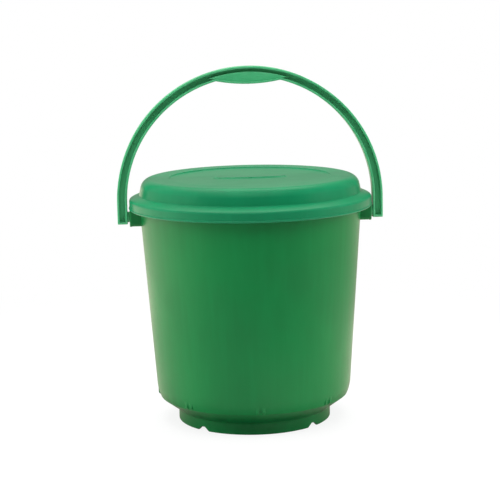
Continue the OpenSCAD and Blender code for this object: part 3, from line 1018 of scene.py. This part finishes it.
# Ground in reflections: tint, levels in front, on the left and on the right, a glow near the bucket, and
# a painted shadow at its foot
GROUND_MIRROR_TINT = (1.0, 0.92, 0.74, 1.0)
GROUND_MIRROR_FRONT = 0.06
GROUND_MIRROR_LEFT_NEAR = 0.864
GROUND_MIRROR_LEFT_FAR = 1.188
GROUND_MIRROR_RIGHT = 0.5
GROUND_MIRROR_RIGHT_BACK = 0.75
GROUND_MIRROR_GLOW = 0.36
GROUND_MIRROR_PAINTED_SHADOW = 0.5
GROUND_TURN = (-1.15, 0.5)
GROUND_LEFT_AWAY = (0.4, 0.75)
GROUND_RIGHT_TURN = (0.3, 1.0)
GLOW_END = (0.27, 0.42)
GLOW_RIGHT_END = (0.5, 0.7)
GLOW_RIGHT_TURN = (-0.9, 0.0)
GLOW_LEFT_SHARE = 0.4
UNDER_EDGE = (0.11, 0.2)

# Ground as light and to the camera: how much it throws back, with a painted shade of little bounce near
# the bucket's foot, and where its shadow gives way to white
GROUND_BOUNCE_PAINTED_SHADE = 0.05
GROUND_BOUNCE_FRONT = 0.45
GROUND_BOUNCE_FAR = 0.95
PAINTED_SHADE_END = (0.1, 0.17)
BOUNCE_FRONT_END = (-0.6, -0.28)
GROUND_GLOW = 0.85
GROUND_WHITE = (0.2, 0.9)
GROUND_HALF = 150.0


def soft_light(name, place, aim, size, power):
    """Area lamp that faces a point and isn't mirrored itself."""
    data = bpy.data.lights.new(name, "AREA")
    data.shape = "RECTANGLE"
    data.size, data.size_y = size
    data.energy = power
    back = unit(np.array(place, float) - np.array(aim, float))
    right = unit(np.cross([0, 0, 1], back) + [LEAST_LENGTH, 0, 0])
    lamp = stand(name, data, right, np.cross(back, right), back, place)
    lamp.visible_glossy = False


def direction(tree, place):
    """Axes of the direction in which a place lies."""
    facing = add_node(tree, "VectorMath", {"operation": "NORMALIZE"}, Vector=place).outputs["Vector"]
    return add_node(tree, "SeparateXYZ", Vector=facing).outputs


def mirrored_ray(tree, path):
    """1 for a ray that a gloss or a clear piece sends on, and 0 for others."""
    return calc(tree, "MAXIMUM", path["Is Glossy Ray"], path["Is Transmission Ray"])


def room_mirror(tree, facing):
    """Brightness of the room in a reflection: dim in front, bright behind, and later so on the right."""
    axis = direction(tree, facing)
    left = span(tree, axis["Y"], *ROOM_LEFT_TURN)
    right = calc(tree, "POWER", span(tree, axis["Y"], *ROOM_RIGHT_TURN), ROOM_RIGHT_BEND)
    share = blend(tree, span(tree, axis["X"], *SIDE_SPAN), left, right)
    return calc(tree, "ADD", ROOM_MIRROR_FRONT, times(tree, share, ROOM_MIRROR_BACK - ROOM_MIRROR_FRONT))


def mirrored_panel(tree, facing):
    """Share of the panel overhead in a reflection: where the way up leads across it, with soft edges."""
    axis = add_node(tree, "SeparateXYZ", Vector=facing).outputs
    rise = calc(tree, "MAXIMUM", axis["Z"], PANEL_LEAST_RISE)
    across = calc(tree, "ABSOLUTE", calc(tree, "DIVIDE", axis["X"], rise))
    behind = calc(tree, "DIVIDE", axis["Y"], rise)
    share = times(tree, span(tree, across, *PANEL_SIDE, 1.0, 0.0), span(tree, behind, *PANEL_NEAR_EDGE))
    return times(tree, share, span(tree, behind, *PANEL_FAR_EDGE, 1.0, 0.0))


def ground_mirror(tree, place, away):
    """Brightness of the ground in a reflection: dim in front, bright on the left, glowing near by.

    The glow ends close to the bucket in front and farther off on the right, and all of it is weaker
    right at the foot, where a painted shadow of the bucket dims it.
    """
    axis = direction(tree, place)
    right = span(tree, axis["X"], *SIDE_SPAN)
    on_left = span(tree, away, *GROUND_LEFT_AWAY, GROUND_MIRROR_LEFT_NEAR, GROUND_MIRROR_LEFT_FAR)
    on_right = span(tree, axis["Y"], *GROUND_RIGHT_TURN, GROUND_MIRROR_RIGHT, GROUND_MIRROR_RIGHT_BACK)
    side = blend(tree, right, on_left, on_right)
    share = span(tree, axis["Y"], *GROUND_TURN)
    level = calc(tree, "ADD", GROUND_MIRROR_FRONT, times(tree, share, side))
    beside = span(tree, axis["Y"], *GLOW_RIGHT_TURN)
    wide = times(tree, span(tree, away, *GLOW_RIGHT_END, 1.0, 0.0), beside)
    glow = calc(tree, "MAXIMUM", span(tree, away, *GLOW_END, 1.0, 0.0), times(tree, wide, right))
    glow = times(tree, glow, span(tree, right, 0.0, 1.0, GLOW_LEFT_SHARE, 1.0))
    level = calc(tree, "ADD", level, times(tree, glow, GROUND_MIRROR_GLOW))
    # Painted shadow: the ground in reflections is dimmed right at the foot, in place of the bucket's
    # shadow.
    clear = span(tree, away, *UNDER_EDGE)
    return times(tree, level, span(tree, clear, 0.0, 1.0, GROUND_MIRROR_PAINTED_SHADOW, 1.0))


def mixed(tree, share, first, second):
    """Shader between two others."""
    node = tree.nodes.new("ShaderNodeMixShader")
    plug(tree, share, node.inputs[0])
    plug(tree, first, node.inputs[1])
    plug(tree, second, node.inputs[2])
    return node.outputs[0]


def ground_white():
    """Ground's material: matt for light and darker near the bucket as painted shade, with its own
    reflections, and white with a shadow when seen.
    """
    white = bpy.data.materials.new("ground_white")
    white.use_nodes = True
    tree = white.node_tree
    tree.nodes.clear()
    place = tree.nodes.new("ShaderNodeTexCoord").outputs["Object"]
    path = tree.nodes.new("ShaderNodeLightPath").outputs
    away = add_node(tree, "VectorMath", {"operation": "LENGTH"}, Vector=place).outputs["Value"]
    depth = add_node(tree, "SeparateXYZ", Vector=place).outputs["Y"]
    bounce = span(tree, depth, *BOUNCE_FRONT_END, GROUND_BOUNCE_FRONT, GROUND_BOUNCE_FAR)
    # Painted shade: the ground throws back little light near the foot, in place of the bucket's shadow
    # there.
    bounce = span(tree, away, *PAINTED_SHADE_END, GROUND_BOUNCE_PAINTED_SHADE, bounce)
    matt = add_node(tree, "BsdfDiffuse", Color=bounce).outputs[0]
    level = ground_mirror(tree, place, away)
    mirror = add_node(tree, "Emission", Color=GROUND_MIRROR_TINT, Strength=level).outputs[0]
    far = span(tree, away, *GROUND_WHITE)
    shade_level = span(tree, far, 0.0, 1.0, 1 - GROUND_GLOW, 0.0)
    shade = add_node(tree, "BsdfDiffuse", Color=shade_level).outputs[0]
    glow = add_node(tree, "Emission", Strength=span(tree, far, 0.0, 1.0, GROUND_GLOW, 1.0)).outputs[0]
    seen = tree.nodes.new("ShaderNodeAddShader")
    plug(tree, shade, seen.inputs[0])
    plug(tree, glow, seen.inputs[1])
    unseen = mixed(tree, mirrored_ray(tree, path), matt, mirror)
    output = tree.nodes.new("ShaderNodeOutputMaterial")
    plug(tree, mixed(tree, path["Is Camera Ray"], unseen, seen.outputs[0]), output.inputs["Surface"])
    return white


def white_ground():
    """Flat ground that keeps a soft shadow near the bucket and is plain white farther off."""
    half = GROUND_HALF
    mesh = bpy.data.meshes.new("ground")
    mesh.from_pydata([(-half, -half, 0), (half, -half, 0), (half, half, 0), (-half, half, 0)], [],
                     [(0, 1, 2, 3)])
    mesh.materials.append(ground_white())
    ground = bpy.data.objects.new("ground", mesh)
    bpy.context.scene.collection.objects.link(ground)


def white_room():
    """Surroundings: white to the camera, brighter overhead for light, with their own reflections."""
    world = bpy.data.worlds.new("studio_white")
    bpy.context.scene.world = world
    world.use_nodes = True
    tree = world.node_tree
    sky = tree.nodes["Background"]
    path = tree.nodes.new("ShaderNodeLightPath").outputs
    facing = tree.nodes.new("ShaderNodeTexCoord").outputs["Generated"]
    panel = times(tree, mirrored_panel(tree, facing), ROOM_MIRROR_ABOVE)
    mirror = calc(tree, "MAXIMUM", room_mirror(tree, facing), panel)
    in_mirror = mirrored_ray(tree, path)
    rise = add_node(tree, "SeparateXYZ", Vector=facing).outputs["Z"]
    light = span(tree, rise, *ROOM_RISE, ROOM_LOW, ROOM_HIGH)
    level = blend(tree, in_mirror, light, mirror)
    plug(tree, calc(tree, "MAXIMUM", level, path["Is Camera Ray"]), sky.inputs["Strength"])
    plug(tree, tint(tree, in_mirror, (1, 1, 1, 1), ROOM_MIRROR_TINT), sky.inputs["Color"])


def studio():
    """White ground and surroundings with soft lamps above, in front and at both sides."""
    white_ground()
    white_room()
    soft_light("lamp_above", place=(0, 0.6, 2.0), aim=(0, 0.6, 0), size=(1.6, 1.6), power=ABOVE_POWER)
    soft_light("lamp_front", place=(0, -1.3, 1.9), aim=LAMP_AIM, size=(1.6, 1.0), power=FRONT_POWER)
    soft_light("lamp_left", place=(-1.7, -0.35, 0.75), aim=LAMP_AIM, size=(1.2, 1.2), power=LEFT_POWER)
    soft_light("lamp_right", place=(1.7, -0.35, 0.75), aim=LAMP_AIM, size=(1.2, 1.2), power=RIGHT_POWER)


camera()
studio()
bpy.context.scene.view_settings.view_transform = "Standard"
